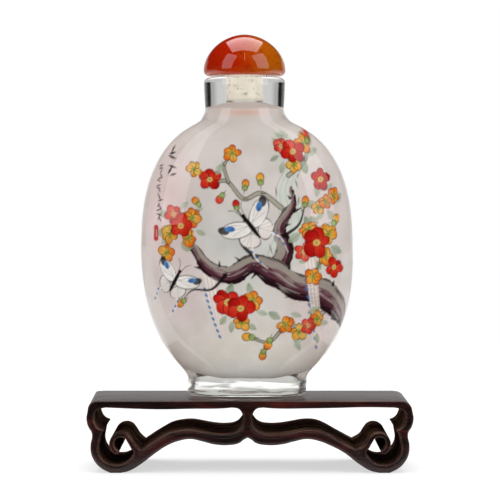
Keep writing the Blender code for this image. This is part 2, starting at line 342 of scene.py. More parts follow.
# %% Fill the outline and stand it up
curve = bpy.data.curves.new("stand_outline", "CURVE")
curve.dimensions = "2D"
curve.fill_mode = "BOTH"
curve.extrude = stand_depth / 2 - EDGE_ROUND
curve.resolution_u = CURVE_STEPS
under_post = [(0.0, 8.85 * MM, CORNER)]
left_side = side_outline(left_reach, LEFT_END_ROUNDING)
right_side = side_outline(right_reach, RIGHT_END_ROUNDING)
add_outline(curve, left_side + under_post + mirrored(right_side))
add_outline(curve, window_outline(left_reach, LEFT_RISE, LEFT_SAGS))
add_outline(curve, mirrored(window_outline(right_reach, RIGHT_RISE, RIGHT_SAGS)))
blank = put_in_scene("stand_outline", curve)
bpy.context.view_layer.update()
sawn = bpy.data.meshes.new_from_object(blank.evaluated_get(bpy.context.evaluated_depsgraph_get()))
bpy.data.objects.remove(blank)
stand_work = bmesh.new()
stand_work.from_mesh(sawn)
bmesh.ops.remove_doubles(stand_work, verts=stand_work.verts[:], dist=0.001 * MM)
bmesh.ops.rotate(
    stand_work, verts=stand_work.verts[:], cent=(0, 0, 0), matrix=Matrix.Rotation(math.pi / 2, 3, "X")
)
bmesh.ops.translate(stand_work, verts=stand_work.verts[:], vec=(post_x, 0.0, 0.0))
bmesh.ops.recalc_face_normals(stand_work, faces=stand_work.faces[:])
print("sawn stand:", len(stand_work.verts), "corners")

# %% [markdown]
# ## Rounded edges and grooves
# The rounding and the groove are drawn in ring by ring: the flat face is extruded, and each new ring
# is moved inward from the outline. For that each outline corner needs two things: the direction
# that leads into the wood, and how wide the wood is there. The direction comes from the side faces
# that meet at the corner. The width comes from a ray sent through the wood to the far side, which
# a BVH tree finds quickly. Then the widths are evened out along the outline, and made narrower
# where a ring would turn its edges round. In the end the plate's left end is drawn out squarer
# towards the back, as the real one is cut.

# %% Ways to measure the wood
BEAD_WIDTH, OUTER_ROUND_WIDTH, PLATE_ROUND_WIDTH = 0.95 * MM, 0.80 * MM, 0.34 * MM
# The carved width is at most this share of the wood, and changes at most this fast along it
WIDEST_SHARE, WIDTH_SLOPE = 0.36, 0.30
# Where a ring's edge gets shorter than this share of the outline's, its ends are made narrower
SHORTEST_SHARE, NARROWER, SWEEPS = 0.15, 0.93, 60
# No opening is wider than this, and the plate's underside sags less than this
WIDEST_WINDOW, DEEPEST_SAG = 42 * MM, 0.48 * MM
# At a corner the way into the wood grows to one over this at most
SHARPEST_TURN = 0.7
stand_tree = BVHTree.FromBMesh(stand_work)


def place_key(point):
    """A corner's place in the outline, whichever face of the stand it is on."""
    return (round(point.x / MM, 3), round(point.z / MM, 3))


def free_distance(point, towards):
    """How far a ray through the middle of the stand goes before it meets wood or air."""
    start = Vector((point.x, 0.0, point.z)) + towards * 0.01 * MM
    distance = stand_tree.ray_cast(start, towards)[3]
    return 1.0 if distance is None else distance


def inward_at(corner):
    """The way into the wood: against the side faces' normals, longer at a corner."""
    sides = [face.normal for face in corner.link_faces if abs(face.normal.y) < 0.5]
    mean = sum(sides, Vector()) / len(sides)
    mean.y = 0.0
    return -mean.normalized() / max(mean.length, SHARPEST_TURN)


# %% Widths that a ring can have
wood = {}
for corner in stand_work.verts:
    inward = inward_at(corner)
    way = inward.normalized()
    thickness = free_distance(corner.co, way)
    on_plate = corner.co.z > leg_height - DEEPEST_SAG
    on_window = free_distance(corner.co, -way) < WIDEST_WINDOW and not on_plate
    full = PLATE_ROUND_WIDTH if on_plate else BEAD_WIDTH if on_window else OUTER_ROUND_WIDTH
    reach = min(full, WIDEST_SHARE * thickness / inward.length)
    wood[place_key(corner.co)] = [inward, reach, on_window]
rims = [
    (*(place_key(corner.co) for corner in edge.verts), edge.calc_length())
    for edge in stand_work.edges
    if sum(abs(face.normal.y) < 0.5 for face in edge.link_faces) == 1
]


def drawn_in(key):
    """Where the innermost ring has an outline corner."""
    inward, reach = wood[key][:2]
    return Vector((key[0] * MM + inward.x * reach, key[1] * MM + inward.z * reach))


for _ in range(SWEEPS):
    for first, second, length in rims:
        for here, there in ((first, second), (second, first)):
            wood[here][1] = min(wood[here][1], wood[there][1] + WIDTH_SLOPE * length)
        run = Vector((second[0] - first[0], second[1] - first[1])) * MM
        # Round a tight end the ring stops before its edges shrink to nothing or turn round
        if run.dot(drawn_in(second) - drawn_in(first)) < SHORTEST_SHARE * length**2:
            wood[first][1] *= NARROWER
            wood[second][1] *= NARROWER
beads = sum(1 for measured in wood.values() if measured[2])
print("outline corners:", len(wood), "of them with a bead:", beads)

# %% Draw in the rings
GROOVE_DEPTH = 0.20 * MM
# A bead takes up this share of the carved width. Under this share of its full width the groove fades
BEAD_SHARE, FULL_GROOVE_SHARE = 0.55, 1 / 1.4
# How far each ring lies in from the outline, as a share of the carved width
RINGS = (0.04, 0.13, 0.27, 0.42, 0.55, 0.64, 0.74, 0.86, 1.0)
# How deep the groove beside a bead is at each ring, as a share of its depth
GROOVE = (0.0, 0.0, 0.0, 0.0, 0.0, 0.9, 1.0, 0.75, 0.0)


def round_over(share):
    """A quarter of a circle: 0 at the sawn edge, and 1 where the rounding ends."""
    share = min(share, 1.0)
    return math.sqrt(1.0 - (1.0 - share) ** 2)


def draw_rings(side):
    """Rounds the edge of one face, -1 the front and 1 the back, and cuts its grooves."""
    flat_y = side * stand_depth / 2
    sawn_y = flat_y - side * EDGE_ROUND
    faces = [
        face for face in stand_work.faces
        if all(abs(corner.co.y - sawn_y) < 0.001 * MM for corner in face.verts)
    ]
    corners = {corner for face in faces for corner in face.verts}
    base = {place_key(corner.co): corner.co.copy() for corner in corners}
    trace = {corner: place_key(corner.co) for corner in corners}
    for share, groove in zip(RINGS, GROOVE):
        made = bmesh.ops.extrude_face_region(stand_work, geom=faces)
        before = {tuple(corner.co): key for corner, key in trace.items()}
        corners = [item for item in made["geom"] if isinstance(item, bmesh.types.BMVert)]
        old_faces = [face for face in faces if face.is_valid]
        faces = [item for item in made["geom"] if isinstance(item, bmesh.types.BMFace)]
        trace = {corner: before[tuple(corner.co)] for corner in corners}
        bmesh.ops.delete(stand_work, geom=old_faces, context="FACES")
        for corner, key in trace.items():
            inward, reach, beaded = wood[key]
            corner.co.x = base[key].x + inward.x * reach * share
            corner.co.z = base[key].z + inward.z * reach * share
            sunk = EDGE_ROUND * (1.0 - round_over(share / BEAD_SHARE if beaded else share))
            if beaded:
                sunk += groove * GROOVE_DEPTH * min(reach / BEAD_WIDTH / FULL_GROOVE_SHARE, 1.0)
            corner.co.y = flat_y - side * sunk
    # The old triangles don't fit the drawn-in outline, so the flat is filled afresh
    flat = set(faces)
    rim = [edge for edge in stand_work.edges if len({face in flat for face in edge.link_faces}) == 2]
    bmesh.ops.delete(stand_work, geom=faces, context="FACES_KEEP_BOUNDARY")
    filled = bmesh.ops.triangle_fill(
        stand_work, use_beauty=True, edges=[edge for edge in rim if edge.is_valid],
        normal=(0.0, side, 0.0),
    )
    return [item for item in filled["geom"] if isinstance(item, bmesh.types.BMFace)]


for side in (-1, 1):
    flat = draw_rings(side)
    flipped = sum(face.normal.y * side < 0 for face in flat)
    print("side", side, "flat faces:", len(flat), "flipped:", flipped)
bmesh.ops.recalc_face_normals(stand_work, faces=stand_work.faces[:])

# %% Square the plate's left end towards the back
SQUARER, SQUARER_REACH = 0.75, 4.2 * MM
plate_corner = Vector((stand_low.x, 0.0, plate_top))
for corner in stand_work.verts:
    out = Vector((plate_corner.x - corner.co.x, 0.0, plate_corner.z - corner.co.z))
    share_back = (corner.co.y - stand_low.y) / stand_depth
    corner.co += out * SQUARER * share_back * max(1.0 - out.length / SQUARER_REACH, 0.0)
print("carved stand:", len(stand_work.faces), "faces")

# %% Tell the sawn insides from the waxed faces
WAXED, SAWN = 0, 1
for face in stand_work.faces:
    middle = face.calc_center_median()
    inside = abs(face.normal.y) < 0.5 and free_distance(middle, face.normal) < WIDEST_WINDOW
    face.material_index = SAWN if inside else WAXED
sawn_faces = sum(face.material_index == SAWN for face in stand_work.faces)
print("sawn faces:", sawn_faces)


# %% Finish a mesh
def finish_piece(name, work, nodes, materials, sharp=40.0):
    """Turns a bmesh into the shown piece that stands for the CAD nodes."""
    open_edges = sum(len(edge.link_faces) != 2 for edge in work.edges)
    mesh = bpy.data.meshes.new(name)
    work.to_mesh(mesh)
    work.free()
    for material in materials:
        mesh.materials.append(material)
    mesh.shade_smooth()
    mesh.set_sharp_from_angle(angle=math.radians(sharp))
    piece = put_in_scene(name, mesh)
    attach(piece, "root")
    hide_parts(*nodes)
    mesh.calc_loop_triangles()
    print(name, len(mesh.loop_triangles), "triangles,", open_edges, "open edges")
    return mesh


# %% [markdown]
# ## Rosewood
# Rosewood stained almost black and rubbed with wax. The grain runs along the stand, so the noise
# that draws it is stretched along X: fine streaks about 0.4 mm apart and 12 mm long. They are
# coarser than real pores, which would be too fine to see. Red shows where the stain is thin.
# The wax leaves a satin shine that grows at flat angles, and the pores break it up a little.
# The insides of the openings are left as the fretsaw cut them: nearly matt, with its fine marks
# running from front to back. One function makes both woods, because only these things differ.
# Sizes of patterns are in millimetres: along the stand, from front to back, and upwards.


# %% Rosewood materials
GRAIN, FIGURE, SAW_MARKS = (12, 0.4, 0.4), (16, 3, 3), (0.5, 9, 0.5)
RELIEF = 0.05 * MM


def rosewood_material(name, stains, roughest, smoothest, shine_level, mark_sizes, mark_strength):
    """Dark wood. Its marks break up the shine and give a low relief."""
    material, tree, place = new_material(name)
    patterns = []
    for sizes, quality in (
        (GRAIN, {"Detail": 4.0, "Roughness": 0.6}),
        (FIGURE, {"Detail": 3.0, "Distortion": 0.4}),
        (mark_sizes, {"Detail": 3.0}),
    ):
        scale = tuple(1 / (size * MM) for size in sizes)
        stretched = add_node(tree, "Mapping", {"Vector": place, "Scale": scale})
        patterns.append(add_node(tree, "TexNoise", {"Vector": stretched, "Scale": 1.0, **quality}))
    grain, figure, marks = patterns
    stain = add_node(tree, "ValToRGB", {"Fac": figure}, tuple(zip((0.34, 0.52, 0.68), stains)))
    pores = add_node(tree, "ValToRGB", {"Fac": grain}, [(0.36, "7c7c7c"), (0.56, "ffffff")])
    colour = add_node(
        tree, "MixRGB", {"Fac": 1.0, "Color1": stain, "Color2": pores}, blend_type="MULTIPLY"
    )
    shine = add_node(tree, "MapRange", {
        "Value": marks, "From Min": 0.3, "From Max": 0.7, "To Min": roughest, "To Max": smoothest,
    })
    relief = add_node(tree, "Bump", {"Height": marks, "Strength": mark_strength, "Distance": RELIEF})
    surface = add_node(tree, "BsdfPrincipled", {
        "Base Color": colour, "Roughness": shine, "Normal": relief, "IOR": 1.5,
        "Specular IOR Level": shine_level,
    })
    add_node(tree, "OutputMaterial", {"Surface": surface})
    return material


stand_materials = [
    rosewood_material("waxed_rosewood", ("180806", "2c0d0a", "46120e"), 0.34, 0.24, 0.5, GRAIN, 0.18),
    rosewood_material("sawn_rosewood", ("422c24", "644a3e", "806656"), 0.80, 0.62, 0.0, SAW_MARKS, 0.5),
]
finish_piece("scroll_stand", stand_work, ["stand"], stand_materials, 38.0)

# %% [markdown]
# ## The shape of the glass
# The bottle's outside and its hollow are two smooth skins round one axis. Each height has an oval
# section, a circle in the neck and a little squarer than an ellipse in the body. The outside goes
# through the curves of belly, shoulder, neck and foot. The hollow follows it inside, a wall's
# thickness away, and narrows through a funnel to the bore.

# %% Sizes of the bottle
bottle_low, bottle_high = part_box("bottle")
bottle_base = bottle_low.z
bottle_height = bottle_high.z - bottle_low.z
body_width = bottle_high.x - bottle_low.x
body_depth = bottle_high.y - bottle_low.y
bottle_x = -0.8 * MM
widest_height = 36.7 * MM
shoulder_rise = 34.7 * MM
belly_drop = 36.3 * MM
foot_width, foot_depth = 30.5 * MM, 15.6 * MM
foot_edge_radius = 1.2 * MM
neck_width = 20.7 * MM
lip_radius = 1.1 * MM
neck_waist = 0.35 * MM
neck_flare = 0.30 * MM
flare_top = 73.0 * MM
flare_drop = 4.0 * MM
bore_width = 6.3 * MM
bore_depth = 6.2 * MM
wall = 2.2 * MM
floor_thickness = 4.7 * MM
belly_offset, neck_offset = 0.3 * MM, -0.6 * MM
bore_end = bottle_height - bore_depth
funnel_flare = neck_width / 2 - wall - bore_width / 2
SHOULDER_FULLNESS, BELLY_FULLNESS, HOLLOW_BELLY_FULLNESS, PLAN_FULLNESS = 2.55, 2.2, 2.4, 2.2
NECK_FILLET, FOOT_FILLET, FUNNEL_FILLET = 1.6 * MM, 2.0 * MM, 1.5 * MM
PLAN_CHANGE = 9.0 * MM
FLOOR_SHARE = 0.985
# The funnel under the bore is flat: it widens this much for each unit that it drops
FUNNEL_SLOPE = 2.6
print("body", round(body_width / MM, 1), "x", round(body_depth / MM, 1), "mm")


# %% Curves of the bottle
def melt(a, b, width):
    """The larger of a and b, with a fillet where they are close."""
    close = max(width - abs(a - b), 0.0) / width
    return max(a, b) + close * close * width / 4


def full_curve(share, fullness):
    """A quarter of a superellipse: 1 at share 0, falling to 0 at share 1."""
    share = min(max(share, 0.0), 1.0)
    return (1.0 - share**fullness) ** (1.0 / fullness)


def quarter_round(distance, radius):
    """How far a rounded edge draws in, at a distance from the face it ends on."""
    if distance >= radius:
        return 0.0
    return radius - math.sqrt(radius**2 - (radius - distance) ** 2)


def neck_size(z, full_size):
    """Half the neck's size: it draws in a little below the lip, and flares where it meets the body."""
    drawn_in = neck_waist * min((bottle_height - z) / (bottle_height - flare_top), 1.0) ** 2
    drop = min(max(flare_top - z, 0.0), flare_drop) / MM
    spread = (full_size - neck_width) / (body_width - neck_width)
    return neck_width / 2 - drawn_in + neck_flare * spread * drop**1.5


def outside_size(z, full_size, foot_size):
    """Half the outside's width or depth at a height above the foot."""
    if z > widest_height:
        body = full_size / 2 * full_curve((z - widest_height) / shoulder_rise, SHOULDER_FULLNESS)
        size = melt(body, neck_size(z, full_size), NECK_FILLET)
        return size - quarter_round(bottle_height - z, lip_radius)
    body = full_size / 2 * full_curve((widest_height - z) / belly_drop, BELLY_FULLNESS)
    return melt(body, foot_size / 2, FOOT_FILLET) - quarter_round(z, foot_edge_radius)


def hollow_size(z, full_size):
    """Half the hollow's width or depth at a height: belly, funnel and bore in one."""
    inner = full_size / 2 - wall
    if z > widest_height:
        rise = (z - widest_height) / (shoulder_rise - wall)
        funnel = bore_width / 2 + min(max(bore_end - z, 0.0) * FUNNEL_SLOPE, funnel_flare)
        return melt(inner * full_curve(rise, SHOULDER_FULLNESS), funnel, FUNNEL_FILLET)
    drop = (widest_height - z) / (widest_height - floor_thickness)
    return inner * full_curve(drop * FLOOR_SHARE, HOLLOW_BELLY_FULLNESS)


def plan_fullness(z):
    """2 in the round neck, and the body's own fullness below it."""
    into_body = (bottle_height - z) / PLAN_CHANGE
    return 2.0 + (PLAN_FULLNESS - 2.0) * min(max(into_body - 0.5, 0.0), 1.0)


def axis_x(z):
    """How far the middle strays sideways at a height, as it does on hand-made glass."""
    if z > widest_height:
        return neck_offset * min((z - widest_height) / shoulder_rise, 1.0) ** 6
    return belly_offset * math.sin(math.pi * z / widest_height)


def section_point(turn, half_width, half_depth, z):
    """A point of the oval section at an angle, in the object's own frame."""
    fullness = plan_fullness(z)
    across, along = math.cos(turn), math.sin(turn)
    x = math.copysign(abs(across) ** (2 / fullness), across) * half_width
    y = math.copysign(abs(along) ** (2 / fullness), along) * half_depth
    return Vector((x + axis_x(z) + bottle_x, y, z + bottle_base))


print("neck", round(2 * outside_size(flare_top, body_width, foot_width) / MM, 1), "mm at its waist")

# %% [markdown]
# ## A net of squares, rolled up
# A painted picture needs a fine even mesh: its colours are kept on the mesh's points, about
# 0.23 mm apart, which is finer than a pixel of the render. So the hollow starts as a flat grid
# and is rolled up round the axis. The columns are close together on the front, where the picture
# is, further apart at the sides, and wide apart at the back. The outside is a second, coarser net.
# Clear glass between the two needs the whole bottle as one closed mesh, so a ring joins the two
# nets at the lip.

# %% Spacing of the nets
TURN_SAMPLES = 8001
FINE_CELL, MIDDLE_CELL, COARSE_CELL = 0.23 * MM, 0.38 * MM, 1.3 * MM
PICTURE_HALF_WIDTH = 22.6 * MM
PICTURE_BOTTOM, PICTURE_TOP = 9.0 * MM, 66.0 * MM
# The columns start at the middle of the back, so that the seam is out of sight
BACK = math.pi / 2


def hollow_sizes(z):
    return hollow_size(z, body_width), hollow_size(z, body_depth)


def outside_sizes(z):
    return outside_size(z, body_width, foot_width), outside_size(z, body_depth, foot_depth)


def column_turns():
    """Angles of the hollow's columns, and the way along the wall to each from the front."""
    turns = np.linspace(BACK, BACK + 2 * math.pi, TURN_SAMPLES)
    spots = [section_point(turn, *hollow_sizes(widest_height), widest_height) for turn in turns]
    steps = np.array([(b - a).length for a, b in zip(spots, spots[1:])])
    x = np.array([spot.x - bottle_x for spot in spots[:-1]])
    y = np.array([spot.y for spot in spots[:-1]])
    cell = np.where(y > 0.5 * MM, COARSE_CELL, MIDDLE_CELL)
    cell = np.where((y < 0.0) & (np.abs(x) < PICTURE_HALF_WIDTH), FINE_CELL, cell)
    count = np.concatenate([[0.0], np.cumsum(steps / cell)])
    way = np.concatenate([[0.0], np.cumsum(steps)])
    wanted = np.linspace(0.0, count[-1], int(round(count[-1])) + 1)
    return np.interp(wanted, count, turns), np.interp(wanted, count, way) - way[-1] / 2


def close_below(low, high, steps):
    """Heights from low up towards high, closer together at the low end, without high."""
    return [low + (high - low) * (1 - math.cos(math.pi / 2 * i / steps)) for i in range(steps)]


def close_above(low, high, steps):
    """Heights from low up towards high, closer together at the high end, without high."""
    return [low + (high - low) * math.sin(math.pi / 2 * i / steps) for i in range(steps)]


# %% Columns and rows of the nets
turns, ways = column_turns()
hollow_heights = close_below(floor_thickness, PICTURE_BOTTOM, 14)
rows = int((PICTURE_TOP - PICTURE_BOTTOM) / FINE_CELL)
hollow_heights += [PICTURE_BOTTOM + FINE_CELL * i for i in range(rows)]
funnel_base = bore_end - funnel_flare / FUNNEL_SLOPE
hollow_heights += close_above(PICTURE_TOP, widest_height + shoulder_rise - wall, 10)
hollow_heights += close_below(widest_height + shoulder_rise - wall, funnel_base, 6)
hollow_heights += [funnel_base + (bore_end - funnel_base) * i / 6 for i in range(6)]
hollow_heights += [bore_end + (bottle_height - bore_end) * i / 5 for i in range(6)]
outside_heights = close_below(0.0, foot_edge_radius, 6)
outside_heights += close_below(foot_edge_radius, widest_height, 34)
outside_heights += close_above(widest_height, widest_height + shoulder_rise, 30)
outside_heights += close_below(widest_height + shoulder_rise, bottle_height - lip_radius, 12)
outside_heights += close_above(bottle_height - lip_radius, bottle_height, 6) + [bottle_height]
print("hollow net:", len(turns) - 1, "x", len(hollow_heights) - 1)

# %% Roll up the two nets
CLEAR, PAINTED, GROUND = 0, 1, 2
OUTSIDE_COLUMNS = 184
glass_work = bmesh.new()
way_layer = glass_work.verts.layers.float.new("way_round")
height_layer = glass_work.verts.layers.float.new("height")


def roll_net(turns, heights, size_at, ways=None):
    """A flat grid from create_grid, with each corner moved to its place on the bottle."""
    columns, rows = len(turns) - 1, len(heights) - 1
    made = bmesh.ops.create_grid(glass_work, x_segments=columns, y_segments=rows, size=0.5)
    sizes = [size_at(z) for z in heights]
    for corner in made["verts"]:
        column = round((corner.co.x + 0.5) * columns)
        row = round((corner.co.y + 0.5) * rows)
        z = heights[row]
        corner.co = section_point(turns[column], *sizes[row], z)
        if ways is not None:
            # The way along the wall shrinks with the section that it runs round
            corner[way_layer] = ways[column] * sizes[row][0] / hollow_size(widest_height, body_width)
            corner[height_layer] = z
    seam = [v for v in made["verts"] if abs(v.co.x - bottle_x) < 3 * MM and v.co.y > 0]
    bmesh.ops.remove_doubles(glass_work, verts=seam, dist=0.0001 * MM)


roll_net(turns, hollow_heights, hollow_sizes, ways)
for face in glass_work.faces:
    face.material_index = PAINTED
    if min(corner.co.z for corner in face.verts) > bottle_base + bore_end - 0.01 * MM:
        face.material_index = GROUND
hollow_faces = len(glass_work.faces)
even_turns = np.linspace(BACK, BACK + 2 * math.pi, OUTSIDE_COLUMNS + 1)
roll_net(even_turns, outside_heights, outside_sizes)
print("hollow", hollow_faces, "faces, outside", len(glass_work.faces) - hollow_faces)

# %% Close the foot, the floor and the lip
rims = [edge for edge in glass_work.edges if edge.is_boundary]
lip = [edge for edge in rims if min(v.co.z for v in edge.verts) > bottle_high.z - 0.01 * MM]
bmesh.ops.bridge_loops(glass_work, edges=lip)
low_rims = [edge for edge in glass_work.edges if edge.is_boundary]
closed = bmesh.ops.holes_fill(glass_work, edges=low_rims, sides=0)
for face in closed["faces"]:
    inside = face.calc_center_median().z > bottle_base + floor_thickness / 2
    face.material_index = PAINTED if inside else CLEAR
bmesh.ops.recalc_face_normals(glass_work, faces=glass_work.faces[:])
print("ends closed with", len(closed["faces"]), "faces")

# %% [markdown]
# ## Clear glass
# Lead-free glass, polished outside and ground in the bore. It is clear, with a grey-green tint
# where it is thick, in the foot, and it bends light with an IOR of 1.52. The foot was finished by
# hand, so its faces are a little wavy and less well polished. Lamps reach the painted wall straight
# through the glass: for shadow and diffuse rays it counts as transparent, because a path tracer
# can't send light from a lamp through a bent surface without a lot of noise.


# %% Clear glass materials
# The foot's finish fades out between these heights, and its waves are this large, in mm
FOOT_FINISH_BOTTOM, FOOT_FINISH_TOP = bottle_base + 3 * MM, bottle_base + 6 * MM
FOOT_WAVES, FOOT_WAVE_HEIGHT = (7, 7, 2.4), 0.4 * MM
FOOT_ROUGHNESS = 0.14


def clear_glass(name, roughness):
    """Clear glass, tinted and wavy in the foot."""
    material, tree, place = new_material(name)
    height = add_node(tree, "SeparateXYZ", {"Vector": place}).outputs["Z"]
    in_foot = add_node(
        tree, "MapRange", {"Value": height, "From Min": FOOT_FINISH_TOP, "From Max": FOOT_FINISH_BOTTOM}
    )
    tint = add_node(tree, "MixRGB", {"Fac": in_foot, "Color1": "fcfdfc", "Color2": "f0f0ec"})
    scale = tuple(1 / (size * MM) for size in FOOT_WAVES)
    wave_place = add_node(tree, "Mapping", {"Vector": place, "Scale": scale})
    waves = add_node(tree, "TexNoise", {"Vector": wave_place, "Scale": 1.0, "Detail": 1.0})
    swell = add_node(tree, "Math", {0: waves, 1: in_foot}, operation="MULTIPLY")
    relief = add_node(tree, "Bump", {"Height": swell, "Strength": 1.0, "Distance": FOOT_WAVE_HEIGHT})
    polish = add_node(
        tree, "Math", {0: in_foot, 1: FOOT_ROUGHNESS, 2: roughness}, operation="MULTIPLY_ADD"
    )
    glass = add_node(tree, "BsdfPrincipled", {
        "Base Color": tint, "Roughness": polish, "Normal": relief, "IOR": 1.52,
        "Transmission Weight": 1.0,
    })
    straight = add_node(tree, "BsdfTransparent", {"Color": "fafafa"})
    path = add_node(tree, "LightPath").outputs
    lamp_ray = add_node(
        tree, "Math", {0: path["Is Shadow Ray"], 1: path["Is Diffuse Ray"]}, operation="MAXIMUM"
    )
    both = add_node(tree, "MixShader", {0: lamp_ray, 1: glass, 2: straight})
    add_node(tree, "OutputMaterial", {"Surface": both})
    return material


polished_glass = clear_glass("polished_clear_glass", 0.0)
ground_glass = clear_glass("ground_clear_glass", 0.24)
print("polished and ground glass made")

# %% [markdown]
# ## The ground and matt wall
# The hollow is ground with grit until it is milky, and the picture is painted on that. Seen
# through the glass the ground wall has no shine of its own. It is a matt surface that takes its
# colour from the mesh's colour attribute, which the next cells paint. Part of the light goes
# through it, so that the whole hollow glows evenly and its underside isn't dark.

# %% Painted wall material
LIGHT_LET_THROUGH = 0.42
painted_wall, tree, place = new_material("ground_and_painted_wall")
picture = add_node(tree, "Attribute", attribute_name="picture")
cloud = add_node(tree, "TexNoise", {"Vector": place, "Scale": 1 / (6 * MM), "Detail": 2.0})
clouding = add_node(tree, "ValToRGB", {"Fac": cloud}, [(0.35, "f4f4f2"), (0.65, "ffffff")])
wall_colour = add_node(
    tree, "MixRGB", {"Fac": 1.0, "Color1": picture, "Color2": clouding}, blend_type="MULTIPLY"
)
surface = add_node(
    tree, "BsdfPrincipled", {"Base Color": wall_colour, "Roughness": 0.9, "Specular IOR Level": 0.0}
)
milky = add_node(tree, "BsdfTranslucent", {"Color": wall_colour})
both = add_node(tree, "MixShader", {0: LIGHT_LET_THROUGH, 1: surface, 2: milky})
add_node(tree, "OutputMaterial", {"Surface": both})
bottle_materials = [polished_glass, painted_wall, ground_glass]
bottle_mesh = finish_piece("painted_bottle", glass_work, ["bottle"], bottle_materials)

# %% [markdown]
# ## Painting with brushes
# A painter lays strokes over strokes. The same happens here, in millimetres on the unrolled wall:
# u runs to the right from the middle of the front, and v runs up from the foot. Each brush works
# out how far every mesh point lies from the stroke, and colours the points inside it. The edge of
# a stroke is soft over the width of one cell, so it doesn't show the squares.

# %% The unrolled wall
SOFT_EDGE = 0.20
point_count = len(bottle_mesh.vertices)


def taken_off(name):
    """The values of a helper attribute in millimetres. The attribute is removed after its job."""
    values = np.zeros(point_count)
    bottle_mesh.attributes[name].data.foreach_get("value", values)
    bottle_mesh.attributes.remove(bottle_mesh.attributes[name])
    return values / MM


wall_u, wall_v = taken_off("way_round"), taken_off("height")
on_wall = np.nonzero(wall_v > 0)[0]
wall_u, wall_v = wall_u[on_wall], wall_v[on_wall]
ground = np.array(linear("e5dedb")[:3])
wall_paint = np.tile(ground, (len(on_wall), 1))
print("points to paint:", len(on_wall))


def near(centre, reach):
    """The mesh points in a square round a place."""
    return np.nonzero((np.abs(wall_u - centre[0]) < reach) & (np.abs(wall_v - centre[1]) < reach))[0]


def lay(points, cover, hex_code):
    """Lays a colour over the points, as thickly as cover says, from 0 to 1."""
    wall_paint[points] += (np.array(linear(hex_code)[:3]) - wall_paint[points]) * cover[:, None]


def edge_cover(distance):
    """1 inside a shape and 0 outside it, from the signed distance to its edge."""
    return np.clip(0.5 - distance / SOFT_EDGE, 0.0, 1.0)

# %% Washes and dabs
def wash(centre, width, height, hex_code, strength):
    """A broad soft tint with no edge."""
    points = near(centre, max(width, height))
    far = ((wall_u[points] - centre[0]) / width) ** 2 + ((wall_v[points] - centre[1]) / height) ** 2
    lay(points, strength * np.exp(-3.0 * far), hex_code)


def dab(centre, length, width, lean, hex_code, tip=None, ink=None, cover=1.0, point=0.0):
    """An oval dab of paint. It may shade to another colour at its tip, and be drawn round in ink."""
    points = near(centre, max(length, width) / 2 + 0.4)
    turn = math.radians(lean)
    u, v = wall_u[points] - centre[0], wall_v[points] - centre[1]
    along = (u * math.cos(turn) + v * math.sin(turn)) / (length / 2)
    across = (v * math.cos(turn) - u * math.sin(turn)) / (width / 2)
    # A pointed dab narrows towards both ends, as a leaf does
    across = across * (1.0 + point * along**2)
    distance = (np.sqrt(along**2 + across**2) - 1.0) * min(length, width) / 2
    inside = edge_cover(distance)
    lay(points, inside * cover, hex_code)
    if tip is not None:
        lay(points, inside * cover * np.clip(along * 0.6 + 0.45, 0.0, 1.0), tip)
    if ink is not None:
        # The pressure of the pen swells and fades round the outline
        pressure = 0.16 + 0.07 * np.sin(np.arctan2(across, along) * 2 + centre[0] * 3)
        line = np.clip(1.0 - np.abs(distance + 0.04) / pressure, 0.0, 1.0)
        lay(points, line * 0.9, ink)


# %% Strokes
STEPS_BETWEEN = 10


def smooth_way(waypoints):
    """Points along a smooth line through the waypoints, each (u, v, width)."""
    p = np.array(waypoints, float)
    p = np.vstack([2 * p[0] - p[1], p, 2 * p[-1] - p[-2]])
    out = []
    for i in range(1, len(p) - 2):
        for t in np.linspace(0, 1, STEPS_BETWEEN, endpoint=False):
            a, b, c, d = p[i - 1], p[i], p[i + 1], p[i + 2]
            out.append(0.5 * (2 * b + (c - a) * t + (2 * a - 5 * b + 4 * c - d) * t**2
                              + (3 * b - 3 * c + d - a) * t**3))
    return np.array(out + [p[-2]])


def along_line(waypoints):
    """For the mesh points near a line: distance to it, width there, side, and way along."""
    line = smooth_way(waypoints)
    low, high = line[:, :2].min(0), line[:, :2].max(0)
    margin = line[:, 2].max() / 2 + 0.4
    inside = (wall_u > low[0] - margin) & (wall_u < high[0] + margin)
    inside &= (wall_v > low[1] - margin) & (wall_v < high[1] + margin)
    points = np.nonzero(inside)[0]
    best = np.full(len(points), 1e9)
    width, side, way = np.zeros(len(points)), np.zeros(len(points)), np.zeros(len(points))
    done = 0.0
    for a, b in zip(line, line[1:]):
        run = b[:2] - a[:2]
        length = math.hypot(*run)
        du, dv = wall_u[points] - a[0], wall_v[points] - a[1]
        t = np.clip((du * run[0] + dv * run[1]) / length**2, 0.0, 1.0)
        distance = np.hypot(du - t * run[0], dv - t * run[1])
        closer = distance < best
        best = np.where(closer, distance, best)
        width = np.where(closer, a[2] + (b[2] - a[2]) * t, width)
        side = np.where(closer, np.sign(run[0] * dv - run[1] * du), side)
        way = np.where(closer, done + t * length, way)
        done += length
    return points, best, width, side, way


def stroke(waypoints, hex_code, cover=1.0):
    """A brush stroke through (u, v, width) waypoints."""
    points, distance, width, _, _ = along_line(waypoints)
    lay(points, edge_cover(distance - width / 2) * cover, hex_code)


def hair(place, angle, start, end, widths, hex_code, cover):
    """A short straight stroke along an angle, between two distances from a place."""
    stroke([(place[0] + math.cos(angle) * way, place[1] + math.sin(angle) * way, width)
            for way, width in zip((start, end), widths)], hex_code, cover)


# %% Far hills
# On the back, places are counted in millimetres from its middle, at the widest section
section_share = np.interp(
    wall_v, np.array(hollow_heights) / MM,
    [hollow_size(z, body_width) / hollow_size(widest_height, body_width) for z in hollow_heights],
)
half_way_round = ways.max() / MM
from_back = np.sign(wall_u) * (half_way_round - np.abs(wall_u) / section_share)
HILL_EDGE = 1.4


